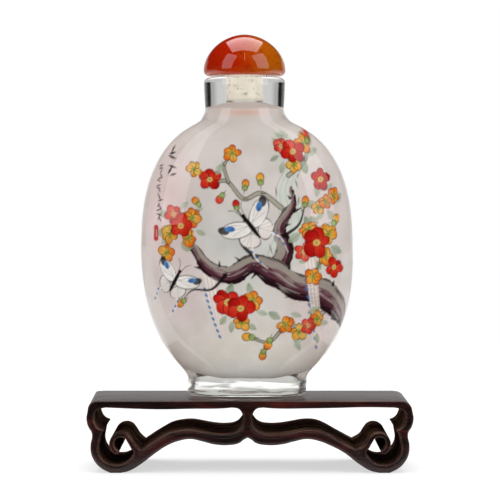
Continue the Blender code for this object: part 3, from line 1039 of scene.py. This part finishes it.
def hill(middle, spread, foot, height, hex_code):
    """A far hill: its crest is wavy and nearly sharp, and its foot is lost in mist."""
    crest = foot + height * np.exp(-((from_back - middle) / spread) ** 2)
    crest += 0.5 * np.sin(from_back * 0.8 + middle) + 0.3 * np.sin(from_back * 1.7 + foot)
    mist = np.clip((wall_v - foot) / (0.7 * height), 0.0, 1.0)
    cover = np.clip((crest - wall_v) / HILL_EDGE + 0.5, 0.0, 1.0) * mist
    lay(np.arange(len(wall_v)), cover * 0.8, hex_code)


print("brushes ready")

# %% [markdown]
# ## The motifs
# Blossoming branches with butterflies are a traditional subject for such bottles. Each motif is a
# small function: a blossom is a ring of dabs round a heart, a bud is two dabs, a leaf is a pointed
# one. The bough is painted wet in wet, dark below and grey on top, with dry streaks along it and
# black thorns that the tip of the brush leaves on its edges.

# %% Paints
# A petal's two colours, from its root to its tip; the brush never holds the same mixture twice
RED = {"petals": (("e23a28", "c41812"), ("d4241a", "a8100e"), ("e84a34", "d42018")),
       "ink": "4a0c10", "heart": "f0cf7a", "eye": "b8521e"}
CORAL = {"petals": (("f06a52", "dc3430"), ("ec5644", "cc2a28"), ("f48a72", "e2463c")),
         "ink": "7a1c1e", "heart": "f4d59a", "eye": "d88a4a"}
ORANGE = {"petals": (("f8c04a", "ea6a24"), ("f6ae3c", "e4581c"), ("f4d068", "f08a2e")),
          "ink": "4c2812", "heart": "a8b45a", "eye": "5f7a2c"}
GOLD = {"petals": (("f4cf62", "f09a30"), ("f6dc80", "f2ac3c"), ("ecc456", "e88828")),
        "ink": "4c3212", "heart": "9fb04a", "eye": "7a5a1c"}
LEAF_GREENS = ("a3b199", "8ea487", "bccab6", "9fae8a")
INK, SOFT_INK = "1c1518", "4b4742"
# The painter's hand makes the same draws on each run
hand = random.Random(11)
print("petal paints: red, coral, orange and gold")


# %% Blossoms, buds and leaves
def blossom(u, v, size, turn, paint, petals=5):
    """A flower seen from the front or from one side, so its ring of petals is an oval."""
    flatten, tilt = hand.uniform(0.66, 1.0), hand.uniform(0, math.pi)

    def on_ring(angle, reach):
        along = math.cos(angle - tilt) * reach
        across = math.sin(angle - tilt) * reach * flatten
        return (u + along * math.cos(tilt) - across * math.sin(tilt),
                v + along * math.sin(tilt) + across * math.cos(tilt))

    for index in range(petals):
        angle = math.radians(turn + 360 * index / petals + hand.uniform(-16, 16))
        petal = size * hand.uniform(0.41, 0.56)
        dab(on_ring(angle, size * hand.uniform(0.25, 0.31)), petal, petal * hand.uniform(0.74, 1.0),
            math.degrees(angle) + hand.uniform(-24, 24), *hand.choice(paint["petals"]), paint["ink"])
        stroke([(*on_ring(angle, size * 0.16), 0.10), (*on_ring(angle, size * 0.36), 0.16)],
               paint["ink"], 0.28)
    dab((u, v), size * 0.25, size * 0.22, turn, paint["heart"])
    for index in range(7):
        angle = math.radians(turn + 25 + 51 * index)
        end = on_ring(angle, size * hand.uniform(0.16, 0.22))
        stroke([(u, v, 0.10), (*end, 0.10)], paint["ink"], 0.6)
        dab(end, 0.30, 0.26, 0, paint["eye"])


def bud(u, v, size, lean, paint):
    """A closed flower in a green cup, with a hair of ink at its tip."""
    angle = math.radians(lean)
    du, dv = math.cos(angle) * size, math.sin(angle) * size
    dab((u + du * 0.3, v + dv * 0.3), size * 1.1, size * 0.9, lean, *paint["petals"][0], paint["ink"])
    dab((u - du * 0.25, v - dv * 0.25), size * 0.75, size * 0.7, lean, "b4c47e", "84a052", "3c4a24")
    hair((u, v), angle, -size * 0.5, -size, (0.22, 0.14), SOFT_INK, 0.8)


def leaf(u, v, length, lean, cover=0.62):
    """A pale leaf, laid in one wet dab, some with a fine ink rib."""
    dab((u, v), length, length * hand.uniform(0.48, 0.62), lean, hand.choice(LEAF_GREENS),
        tip=hand.choice(LEAF_GREENS), cover=cover, point=0.55)
    if hand.random() < 0.5:
        half = length * 0.42
        hair((u, v), math.radians(lean), -half, half, (0.18, 0.08), "5f7550", 0.55)


def spray(u, v, kinds, spread, size):
    """A cluster: leaves first, then flowers of the given paints round a place."""
    count = len(kinds)
    for index in range(count + 3):
        angle = 2 * math.pi * index / (count + 3) + hand.uniform(-0.4, 0.4)
        leaf(u + math.cos(angle) * spread * 1.5, v + math.sin(angle) * spread * 1.45,
             hand.uniform(2.4, 3.8), math.degrees(angle) + hand.uniform(-50, 50))
    for index, paint in enumerate(kinds):
        angle = 2 * math.pi * index / max(count - 1, 1) + 0.6
        reach = 0.0 if index == count - 1 else spread
        scale = 1.25 if paint is RED else 0.85
        blossom(u + math.cos(angle) * reach, v + math.sin(angle) * reach,
                size * scale * hand.uniform(0.9, 1.1), hand.uniform(0, 72), paint, hand.choice((5, 5, 6)))


print("motifs: blossom, bud, leaf, spray")


# %% Boughs and twigs
def ripple(along, across, layers):
    """Noise on a stroke. A layer has a strength, its scales along and across, and a seed."""
    total = np.zeros(len(along))
    for strength, fine, wide, seed in layers:
        layer = [noise.noise(Vector((a * fine, b * wide, seed))) for a, b in zip(along, across)]
        total += strength * np.array(layer)
    return total


def bough(waypoints, seed, light_side=1):
    """A gnarled branch, plum below and grey above, with dry streaks and thorns along it."""
    points, distance, width, side, way = along_line(waypoints)
    across = -np.clip(distance / (width / 2), 0, 1.4) * side * light_side
    streak = ripple(way, across, ((1.0, 0.11, 3.4, seed), (0.6, 0.3, 9, seed)))
    rough = ripple(way, side, ((1.0, 0.28, 3.0, seed + 5), (0.35, 1.4, 1.0, seed)))
    inside = edge_cover(distance - width / 2 - rough * 0.55)
    lay(points, inside, "a59c93")
    # Each colour: where it ends across the bough, how the streaks shift that, and how softly
    for hex_code, end, shift, softness in (
        ("85606a", 0.42, 0.9, 0.35), ("562f3b", 0.10, 0.8, 0.28), ("28141b", -0.42, 0.5, 0.22),
    ):
        lay(points, inside * np.clip((end - across + streak * shift) / softness, 0, 1), hex_code)
    lay(points, inside * np.clip((streak - 0.36) / 0.16, 0, 1) * 0.5, "cfc4bc")
    lay(points, inside * np.clip((across - 0.80 + streak * 0.3) / 0.12, 0, 1) * 0.85, "38302f")
    line = smooth_way(waypoints)
    for index in range(4, len(line) - 1, 6):
        here, run = line[index], line[index + 1] - line[index - 1]
        turn = math.atan2(run[1], run[0])
        way_out = hand.choice((1, -1))
        root = (here[0] - math.sin(turn) * way_out * here[2] * 0.46,
                here[1] + math.cos(turn) * way_out * here[2] * 0.46)
        lean = turn + way_out * hand.uniform(0.5, 1.3)
        if hand.random() < 0.75:
            length = hand.uniform(0.9, 2.2)
            hair(root, lean, 0, length, (hand.uniform(0.6, 0.9), 0.15), INK, 0.95)


def twig(*waypoints):
    """A thin grey shoot with an ink line down each side, and short thorns."""
    stroke([(u, v, width + 0.42) for u, v, width in waypoints], "2f2a28", 0.9)
    stroke(waypoints, "b9b6a4", 0.95)
    for u, v, _ in waypoints[1:-1]:
        hair((u, v), hand.uniform(0, 2 * math.pi), 0, 1.3, (0.34, 0.12), INK, 0.85)


def ink_shoot(*waypoints):
    """A quick dark stroke that runs out to a point, with a knot at its root."""
    stroke(waypoints, INK, 0.95)
    dab(waypoints[0][:2], 1.7, 1.1, hand.uniform(0, 180), INK, cover=0.9, point=0.4)


def old_wood(*waypoints):
    """A weathered trunk: a pale grey-green wash with broken dark edges."""
    stroke([(u, v, width + 0.3) for u, v, width in waypoints], "8b908c", 0.35)
    stroke([(u + 0.1, v, width) for u, v, width in waypoints], "e0e7de", 0.90)
    for shift in (-0.32, -0.05, 0.26):
        stroke([(u + width * shift, v, 0.24) for u, v, width in waypoints], "bac4ba", 0.55)
    for u, v, width in smooth_way(waypoints)[2::3]:
        edge = (u + hand.choice((0.5, -0.5)) * width, v)
        length, lean = hand.uniform(1.2, 2.6), 90 + hand.uniform(-25, 25)
        dab(edge, length, 0.34, lean, "4b504c", cover=0.75, point=0.4)


print("motifs: bough, twig, shoot, old wood")

# %% Butterflies, catkins and plain marks
def butterfly(u, v, size, lean):
    """White wings tipped in blue and black, a dark body and two long tails."""
    turn = math.radians(lean)

    def at(along, across):
        return (u + (along * math.cos(turn) - across * math.sin(turn)) * size,
                v + (along * math.sin(turn) + across * math.cos(turn)) * size)

    def line(places, hex_code, cover=1.0):
        stroke([(*at(along, across), width) for along, across, width in places], hex_code, cover)

    for side in (1, -1):
        hind_lean, fore_lean = lean - side * 140, lean + side * 62
        dab(at(-0.26, side * 0.25), size * 0.56, size * 0.38, hind_lean, "fbf8f5", "ece2dd", "3a3440")
        tail = [(-0.38, side * 0.30, 0.55), (-0.70, side * 0.42, 0.40), (-1.10, side * 0.34, 0.16)]
        line(tail, "f6f0ec", 0.95)
        for index in range(3):
            dab(at(-0.52 - index * 0.17, side * 0.39), 0.8, 0.45, lean, "3f78b8")
        for index in range(3):
            vein_end = (-0.42 + index * 0.12, side * (0.34 + index * 0.05), 0.10)
            line([(-0.10, side * 0.10, 0.08), vein_end], "8a8088", 0.55)
        dab(at(0.17, side * 0.37), size * 0.84, size * 0.44, fore_lean, "fffdfa", "f2eeec", "201a20")
        dab(at(0.36, side * 0.64), size * 0.30, size * 0.20, lean + side * 40, "241c22", cover=0.92)
        dab(at(0.30, side * 0.48), size * 0.26, size * 0.15, lean + side * 50, "2c66b0", "5c95cf")
        for index in range(3):
            vein_end = (0.10 + index * 0.13, side * (0.52 - index * 0.06), 0.12)
            line([(0.08, side * 0.08, 0.10), vein_end], "5a5058", 0.5)
        line([(0.34, side * 0.04, 0.14), (0.58, side * 0.10, 0.13), (0.70, side * 0.22, 0.10)], INK)
    line([(-0.34, 0.0, 0.50), (-0.04, 0.0, size * 0.12), (0.30, 0.0, size * 0.09)], INK)
    dab(at(0.35, 0.0), size * 0.12, size * 0.11, 0, INK)


def catkins(u, v, reach, sway):
    """Pale strands that hang from a twig, with a row of blue dabs down one side."""
    for index in range(6):
        shift = 0.48 * index
        stroke([(u + shift, v, 0.42), (u + shift * 0.9 + sway * 0.35, v - reach * 0.5, 0.36),
                (u + shift * 0.4 + sway, v - reach, 0.20)], ("faf6f3", "eed8cf")[index % 2], 0.9)
    for index in range(9):
        share = 0.26 + 0.70 * index / 8
        dab((u - 0.35 + sway * share**1.6, v - reach * share), 1.15, 0.62, 112 + sway * 3, "3f78b8",
            cover=0.92, point=0.3)


def brush_marks(u, top, rows, size, gap):
    """A column of short plain brush strokes that lean at random."""
    for row in range(rows):
        v = top - row * gap
        for index in range(3):
            lean = hand.choice((-55, -15, 15, 60))
            centre = (u + hand.uniform(-0.2, 0.2) * size, v + (index - 1) * 0.28 * size)
            dab(centre, size * hand.uniform(0.5, 0.8), size * 0.17, lean, INK, cover=0.92, point=0.4)


def red_block(u, v, width, height):
    """A small plain block of red paint, worn down its middle."""
    upright = math.pi / 2
    hair((u, v), upright, -height / 2, height / 2, (width, width), "c9302a", 0.95)
    worn = (width * 0.2, width * 0.2)
    hair((u + width * 0.1, v), upright, -height * 0.3, height * 0.3, worn, "f0c9c2", 0.7)


print("motifs: butterfly, catkins, brush marks, red block")

# %% [markdown]
# ## The picture
# First the ground: milky white with breaths of pink at both sides and of grey-green in the middle.
# Painted light goes on it too: a pale highlight down the left edge, a pinkish reflection under the
# funnel, and warm white and white that lighten the foot. Then an old pale trunk, the bough that
# crosses the belly from the right, its shoots, and the flowers over them, so that what is in front is
# painted last. The back has far hills in mist and a low red sun, with no fine lines, because its
# squares are larger.

# %% Paint the ground
# Each wash: its centre, its width and height, its colour and its strength
for u, v, width, height, tint, strength in (
    (-19, 48, 10, 24, "e8c3c6", 0.60), (-16, 26, 12, 16, "e8d0d4", 0.50),
    (16, 20, 11, 14, "ecd0d4", 0.50), (19, 46, 10, 16, "e6cdd0", 0.40),
    (1, 36, 15, 26, "dfe1dd", 0.75), (10, 62, 8, 8, "d6dfd6", 0.45),
    (-11, 48, 8, 10, "d2d2ce", 0.50), (-5, 40, 14, 9, "c8cdca", 0.62),
    # Painted light: the pale pink at u -24 is a painted highlight down the left edge, and the warm white
    # at the foot lightens the lower part
    (-24, 46, 5, 15, "fae6e8", 0.85), (0, 8, 30, 17, "f6f1e4", 0.85),
    # Painted light: the white at the foot lightens its bottom further, and the pinkish ring at v 72 is a
    # painted reflection under the funnel
    (0, 5, 30, 9, "ffffff", 0.90), (0, 72, 9, 1.5, "e8a890", 0.60),
):
    wash((u, v), width, height, tint, strength)
print("ground washed")

# %% Paint the back
# Each hill: the middle of its crest, its spread, foot and height, and its colour
for middle, spread, foot, height, tint in (
    (-9, 9, 20, 22, "c3cdc9"), (7, 12, 17, 19, "b3c1ba"), (-14, 10, 13, 15, "9fb0a5"),
    (13, 8, 11, 13, "8fa397"), (-1, 9, 9, 9, "a3aa93"),
):
    hill(middle, spread, foot, height, tint)
SUN_U, SUN_V, SUN_RADIUS = 6.0, 47.0, 3.0
from_sun = np.hypot(from_back - SUN_U, wall_v - SUN_V) - SUN_RADIUS
sun_points = np.nonzero(from_sun < HILL_EDGE)[0]
lay(sun_points, np.clip(0.5 - from_sun[sun_points] / HILL_EDGE, 0, 1) * 0.8, "e08a72")
print("back painted")

# %% Paint the branches
old_wood((8.6, 36.0, 6.6), (11.4, 44.0, 6.2), (9.8, 52.0, 5.0), (11.6, 58.5, 2.8), (11.0, 65.0, 0.5))
catkins(-10.8, 32.0, 17.0, 4.4)
for waypoints in (
    ((8.6, 48.0, 0.9), (3.6, 51.6, 0.8), (-0.8, 50.2, 0.7), (-5.0, 54.6, 0.6), (-9.4, 54.0, 0.5),
     (-12.4, 57.0, 0.3)),
    ((-4.6, 54.4, 0.5), (-5.6, 58.4, 0.4), (-3.8, 61.0, 0.25)),
    ((10.4, 56.0, 0.8), (14.6, 59.6, 0.6), (15.4, 64.0, 0.4)),
    ((19.5, 22.0, 0.9), (14.4, 17.8, 0.7), (9.8, 18.6, 0.6), (5.4, 14.4, 0.5), (0.8, 15.4, 0.3)),
    ((5.8, 14.8, 0.5), (4.0, 12.0, 0.3)),
):
    twig(*waypoints)
bough([(6.6, 32.4, 4.4), (9.6, 37.0, 4.4), (8.2, 43.0, 3.0), (11.4, 48.6, 2.0), (11.0, 53.0, 0.8)],
      8.0, light_side=-1)
bough([(27.6, 17.4, 1.6), (24.8, 21.6, 5.6), (21.0, 25.2, 7.2), (16.8, 27.4, 7.0), (12.0, 28.4, 6.2),
       (6.6, 31.8, 6.6), (1.6, 34.0, 5.0), (-4.2, 31.2, 4.4), (-9.6, 33.0, 3.4), (-13.2, 38.0, 2.2),
       (-14.4, 42.0, 0.8)], 2.0)
ink_shoot((2.0, 35.6, 1.1), (-1.6, 39.6, 0.7), (-0.6, 44.4, 0.5), (-2.4, 47.6, 0.25))
ink_shoot((-5.6, 31.0, 0.9), (-9.0, 27.6, 0.6), (-13.6, 27.4, 0.4), (-16.0, 25.4, 0.2))
ink_shoot((15.0, 29.8, 1.0), (18.4, 34.2, 0.7), (17.8, 38.6, 0.3))
ink_shoot((9.4, 41.0, 0.9), (13.0, 43.8, 0.6), (14.4, 48.0, 0.3))
catkins(14.6, 36.0, 24.0, 3.6)
print("branches painted")

# %% Paint the flowers
spray(-16.6, 43.4, (ORANGE, CORAL, GOLD, ORANGE, RED), 3.6, 5.4)
spray(17.6, 39.2, (GOLD, ORANGE, CORAL, ORANGE, RED), 3.9, 5.6)
spray(20.2, 49.4, (ORANGE, GOLD, ORANGE), 2.6, 4.6)
spray(11.6, 62.0, (ORANGE, CORAL, GOLD, RED), 3.3, 5.2)
spray(-1.8, 22.8, (ORANGE, RED, GOLD, RED), 3.6, 5.4)
spray(15.2, 18.4, (ORANGE, GOLD, CORAL), 2.8, 5.0)
for u, v, size, turn, paint in (
    (-9.2, 55.0, 5.6, 12, RED), (-13.2, 57.6, 4.2, 40, GOLD), (-3.6, 61.6, 4.6, 10, ORANGE),
    (22.4, 33.0, 5.4, 50, RED), (18.8, 55.0, 6.2, 25, RED), (16.6, 30.8, 4.6, 70, ORANGE),
    (9.4, 18.6, 4.4, 30, ORANGE), (-20.6, 36.6, 4.6, 20, ORANGE),
):
    blossom(u, v, size, turn, paint)
for u, v, size, lean, paint in (
    (5.2, 14.2, 2.3, 250, ORANGE), (0.4, 15.6, 2.3, 175, GOLD), (3.8, 11.4, 2.0, 260, ORANGE),
    (-6.4, 50.6, 2.1, 235, CORAL), (-0.4, 53.4, 2.0, 80, ORANGE), (3.4, 54.8, 2.2, 95, GOLD),
    (-2.6, 48.4, 1.9, 100, RED), (14.6, 49.2, 2.0, 80, ORANGE), (15.6, 65.0, 2.0, 85, CORAL),
    (-16.6, 24.4, 2.1, 215, ORANGE), (-12.4, 49.2, 2.0, 130, ORANGE), (22.8, 44.6, 2.2, 60, GOLD),
):
    bud(u, v, size, lean, paint)
for u, v, length, lean in (
    (-6.8, 57.6, 3.2, 60), (2.2, 48.6, 3.0, 250), (6.6, 21.0, 3.4, 150), (12.4, 13.6, 3.2, 300)
):
    leaf(u, v, length, lean)
butterfly(1.2, 43.2, 9.6, 128)
butterfly(-18.4, 29.6, 8.0, 60)
print("flowers and butterflies painted")

# %% Paint the marks
brush_marks(-19.4, 61.4, 2, 3.4, 4.2)
brush_marks(-22.8, 57.6, 6, 2.2, 2.4)
red_block(-23.6, 41.6, 1.5, 2.6)
print("front painted")

# %% Keep the picture on the mesh
colours = np.ones((point_count, 4), np.float32)
colours[:, :3] = ground
colours[on_wall, :3] = np.clip(wall_paint, 0.0, 1.0)
picture = bottle_mesh.attributes.new("picture", "FLOAT_COLOR", "POINT")
picture.data.foreach_set("color", colours.ravel())
print("picture on", point_count, "points")

# %% [markdown]
# ## The agate stopper
# The dome is cut from red agate and polished. Agate is a banded stone that lets some light in.
# Its colour is painted from a deep red on the left, as shade, to amber on the right, as light
# coming through, and its lower edge gets a painted orange glow. The shape is turned: a profile is
# spun round the stopper's axis, with the same seat for the plug as the CAD piece, and rounded at the
# lower edge.

# %% Turn the dome
cap_low, cap_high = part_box("stopper_cap")
plug_low, plug_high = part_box("stopper_plug")
neck_x = (cap_low.x + cap_high.x) / 2
cap_radius = (cap_high.x - cap_low.x) / 2
cap_height = cap_high.z - cap_low.z
CAP_EDGE = 1.4 * MM
DOME_FULLNESS = 1.88
SPIN_STEPS = 128


def spin_profile(profile, centre_x):
    """Spins a profile of (radius, height) points about the vertical through centre_x."""
    work = bmesh.new()
    corners = [work.verts.new((centre_x + radius, 0.0, z)) for radius, z in profile]
    edges = [work.edges.new(pair) for pair in zip(corners, corners[1:])]
    bmesh.ops.spin(
        work, geom=corners + edges, cent=(centre_x, 0.0, 0.0), axis=(0.0, 0.0, 1.0),
        angle=2 * math.pi, steps=SPIN_STEPS, use_merge=True,
    )
    bmesh.ops.remove_doubles(work, verts=work.verts[:], dist=0.002 * MM)
    bmesh.ops.recalc_face_normals(work, faces=work.faces[:])
    return work


seat_radius = 5.8 * MM
seat_height = 0.7 * MM
dome_profile = []
for step in range(33):
    share = math.cos(math.pi / 2 * step / 32)
    width = full_curve(share, DOME_FULLNESS) * cap_radius
    dome_profile.append((width, cap_low.z + CAP_EDGE + (cap_height - CAP_EDGE) * share))
for step in range(1, 9):
    lean = math.pi / 2 * step / 8
    dome_profile.append(
        (cap_radius - CAP_EDGE * (1 - math.cos(lean)), cap_low.z + CAP_EDGE * (1 - math.sin(lean)))
    )
dome_profile += [(seat_radius, cap_low.z), (seat_radius, cap_low.z + seat_height)]
dome_profile += [(0.0, cap_low.z + seat_height)]
dome_work = spin_profile(dome_profile, neck_x)
print("dome", round(cap_radius * 2 / MM, 1), "mm wide")

# %% Red agate material
AMBER_REACH = 9 * MM
# Between these heights above its base, the dome's lower edge gets a painted orange glow
EDGE_GLOW_BOTTOM, EDGE_GLOW_TOP = 0.2 * MM, 2.4 * MM
VEIN_SIZE, SPECK_SIZE = 7 * MM, 0.9 * MM
red_agate, tree, place = new_material("polished_red_agate")
centred = add_node(tree, "Mapping", {"Vector": place, "Location": (-neck_x, 0.0, -cap_low.z)})
spot = add_node(tree, "SeparateXYZ", {"Vector": centred}).outputs
veins = add_node(tree, "TexNoise", {
    "Vector": place, "Scale": 1 / VEIN_SIZE, "Detail": 5.0, "Roughness": 0.55, "Distortion": 0.8,
})
# Painted shade and light: deep red on the left (0) for the shaded side, amber on the right (1) for light
# coming through, shifted a little by the veins
painted_shade_to_light = add_node(
    tree, "MapRange", {"Value": spot["X"], "From Min": -AMBER_REACH, "From Max": AMBER_REACH}
)
shifted = add_node(tree, "Math", {0: veins, 1: 0.35, 2: painted_shade_to_light}, operation="MULTIPLY_ADD")
stone = add_node(tree, "ValToRGB", {"Fac": shifted}, [
    (0.15, "9a1a04"), (0.55, "a21e02"), (0.80, "a43c04"), (1.0, "a25006"),
])
# Painted light: the lower edge is tinted orange, as if light came through the stone there
painted_glow_at_edge = add_node(tree, "MapRange", {
    "Value": spot["Z"], "From Min": EDGE_GLOW_TOP, "From Max": EDGE_GLOW_BOTTOM, "To Max": 0.5,
})
stone_with_painted_light = add_node(tree, "MixRGB", {"Fac": painted_glow_at_edge, "Color1": stone, "Color2": "9a3e08"})
# Fine dark specks
grains = add_node(
    tree, "TexNoise", {"Vector": place, "Scale": 1 / SPECK_SIZE, "Detail": 3.0, "Roughness": 0.7}
)
specks = add_node(tree, "ValToRGB", {"Fac": grains}, [(0.34, "b48a80"), (0.46, "ffffff")])
speckled = add_node(
    tree, "MixRGB", {"Fac": 0.55, "Color1": stone_with_painted_light, "Color2": specks}, blend_type="MULTIPLY"
)
surface = add_node(tree, "BsdfPrincipled", {"Base Color": speckled, "Roughness": 0.06, "IOR": 1.54})
add_node(tree, "OutputMaterial", {"Surface": surface})
finish_piece("agate_stopper", dome_work, ["stopper_cap"], [red_agate])

# %% [markdown]
# ## The plug
# Under the dome a cream plug sits in the bore. Seen through the round neck it looks half as wide
# again as it is. It is turned like the dome, with a thin head over the rim and a bevelled lower
# end. A faint cream emission paints in the light that the glass pipes to it from all round, so the plug
# glows a little.

# %% Turn the plug
shank_radius = 2.85 * MM
head_radius = (plug_high.x - plug_low.x) / 2
head_base = plug_high.z - 0.6 * MM
HEAD_BEVEL, SHANK_BEVEL = 0.15 * MM, 0.4 * MM
MOTTLE_SIZE = 1.1 * MM
plug_profile = [
    (0.0, plug_high.z), (head_radius - HEAD_BEVEL, plug_high.z), (head_radius, plug_high.z - HEAD_BEVEL),
    (head_radius, head_base), (shank_radius, head_base),
]
for step in range(1, 13):
    plug_profile.append((shank_radius, head_base + (plug_low.z + SHANK_BEVEL - head_base) * step / 12))
plug_profile += [(shank_radius - SHANK_BEVEL, plug_low.z), (0.0, plug_low.z)]
plug_work = spin_profile(plug_profile, neck_x)

cream, tree, place = new_material("cream_plug")
mottle = add_node(
    tree, "TexNoise", {"Vector": place, "Scale": 1 / MOTTLE_SIZE, "Detail": 3.0, "Roughness": 0.6}
)
plug_colour = add_node(
    tree, "ValToRGB", {"Fac": mottle}, [(0.32, "b5b39c"), (0.42, "f4eedb"), (0.7, "fffaee")]
)
surface = add_node(tree, "BsdfPrincipled", {
    "Base Color": plug_colour, "Roughness": 0.45, "IOR": 1.46,
    # Painted light: a faint cream emission stands in for light that reaches the plug through the glass
    "Emission Color": "f6eeda", "Emission Strength": 0.12,
})
add_node(tree, "OutputMaterial", {"Surface": surface})
finish_piece("cream_plug", plug_work, ["stopper_plug"], [cream])
